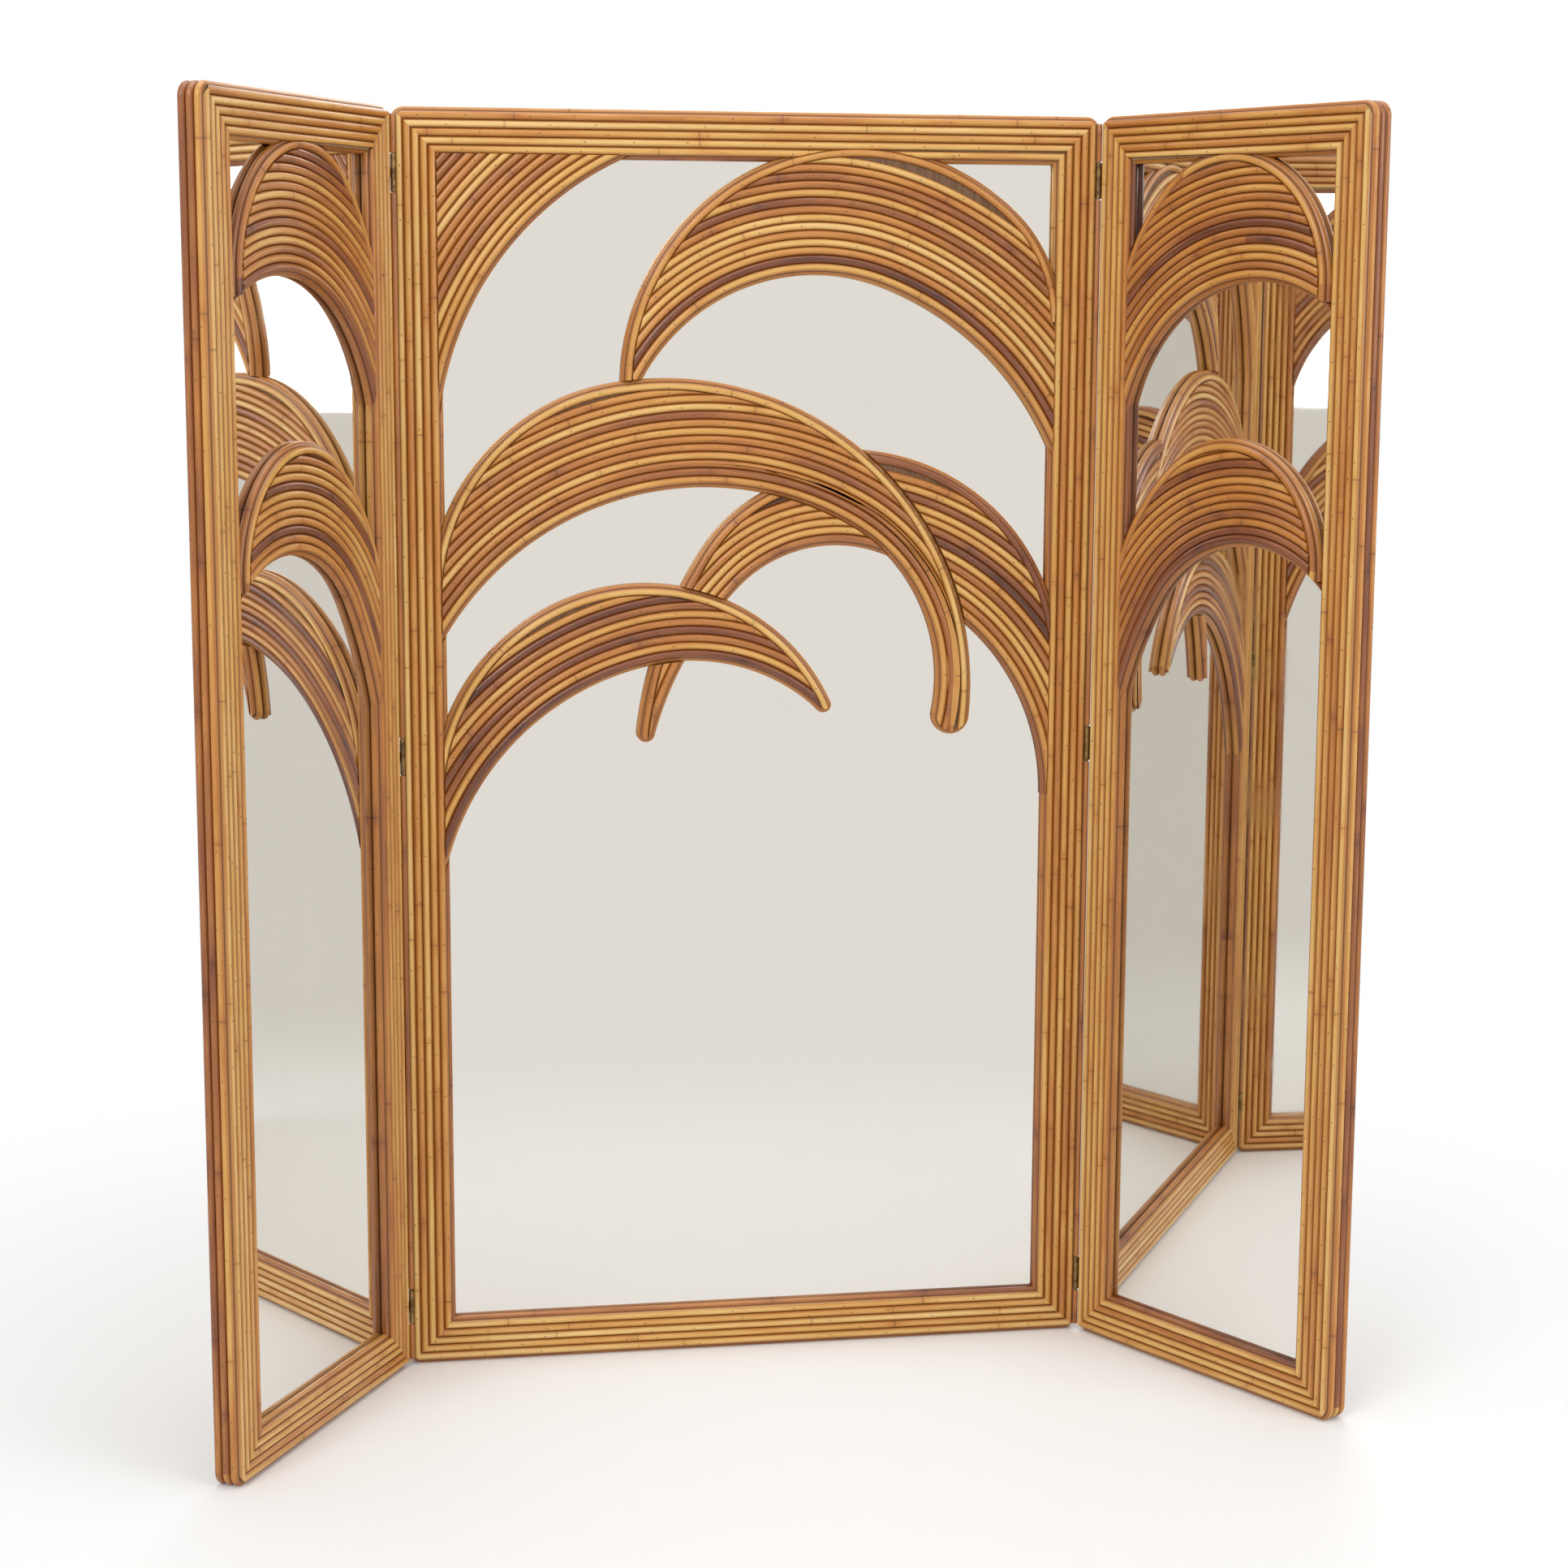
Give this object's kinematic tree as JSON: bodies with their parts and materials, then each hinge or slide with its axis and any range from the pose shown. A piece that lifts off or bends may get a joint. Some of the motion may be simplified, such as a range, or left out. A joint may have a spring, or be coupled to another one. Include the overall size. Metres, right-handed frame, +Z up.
{
  "type": "folding mirror screen",
  "caption": "Folding floor mirror screen: a wide centre panel with narrower hinged wings, mirror glass set behind overlapping reed-clad arches.",
  "frame": {"origin": "on the floor, at the middle of the flat under the centre panel's middle foot reed", "axes": "+Z up, the centre panel runs along X and its mirror faces -Y, wings fold forward to -Y"},
  "size_m": [1.5599, 0.4729, 1.8105],
  "materials": {
    "reed_amber": "split reed, glossy honey and amber varnish",
    "reed_dark": "split reed, glossy darker amber varnish",
    "fan_board": "plywood, sealed",
    "timber": "stained softwood, satin",
    "back_board": "thin plywood, matt stain",
    "mirror_glass": "silvered float glass",
    "hinge_metal": "aged brass",
    "screw_metal": "yellow zinc plate"
  },
  "bodies": {
    "centre": {"centre_stile_left": "timber", "centre_stile_right": "timber", "centre_rail_top": "timber", "centre_rail_bottom": "timber", "centre_stile_reeds": "reed_amber", "centre_rail_reeds": "reed_amber", "centre_edge_reeds": "reed_dark", "centre_foot_reeds": "reed_dark", "centre_lip_reeds": "reed_dark", "centre_mirror": "mirror_glass", "centre_back_board": "back_board", "centre_battens": "timber", "corner_fan_board": "fan_board", "corner_fan_reeds": "reed_amber", "top_fan_board": "fan_board", "top_fan_reeds": "reed_amber", "middle_fan_board": "fan_board", "middle_fan_reeds": "reed_amber", "lower_fan_board": "fan_board", "lower_fan_reeds": "reed_amber", "centre_hinge_leaves": "hinge_metal", "hinge_pins": "hinge_metal", "centre_screws": "screw_metal", "right_fan_board": "fan_board", "right_fan_reeds": "reed_amber"},
    "left_wing": {"left_stile_hinged": "timber", "left_stile_outer": "timber", "left_rail_top": "timber", "left_rail_bottom": "timber", "left_frame_reeds": "reed_amber", "left_edge_reeds": "reed_dark", "left_foot_reeds": "reed_dark", "left_lip_reeds": "reed_dark", "left_mirror": "mirror_glass", "left_back_board": "back_board", "left_battens": "timber", "left_upper_fan_board": "fan_board", "left_upper_fan_reeds": "reed_amber", "left_lower_fan_board": "fan_board", "left_lower_fan_reeds": "reed_amber", "left_hinge_leaves": "hinge_metal", "left_screws": "screw_metal"},
    "right_wing": {"right_stile_hinged": "timber", "right_stile_outer": "timber", "right_rail_top": "timber", "right_rail_bottom": "timber", "right_frame_reeds": "reed_amber", "right_edge_reeds": "reed_dark", "right_foot_reeds": "reed_dark", "right_lip_reeds": "reed_dark", "right_mirror": "mirror_glass", "right_back_board": "back_board", "right_battens": "timber", "right_upper_fan_board": "fan_board", "right_upper_fan_reeds": "reed_amber", "right_lower_fan_board": "fan_board", "right_lower_fan_reeds": "reed_amber", "right_hinge_leaves": "hinge_metal", "right_screws": "screw_metal"}
  },
  "joints": [
    {"name": "left_hinge", "type": "hinge", "parent": "centre", "child": "left_wing", "pos_m": [-0.502, -0.0239, 0.9049], "axis": [0, 0, 1], "range_deg": [-61, 118.5]},
    {"name": "right_hinge", "type": "hinge", "parent": "centre", "child": "right_wing", "pos_m": [0.502, -0.0239, 0.9049], "axis": [0, 0, -1], "range_deg": [-60.5, 119]}
  ]
}
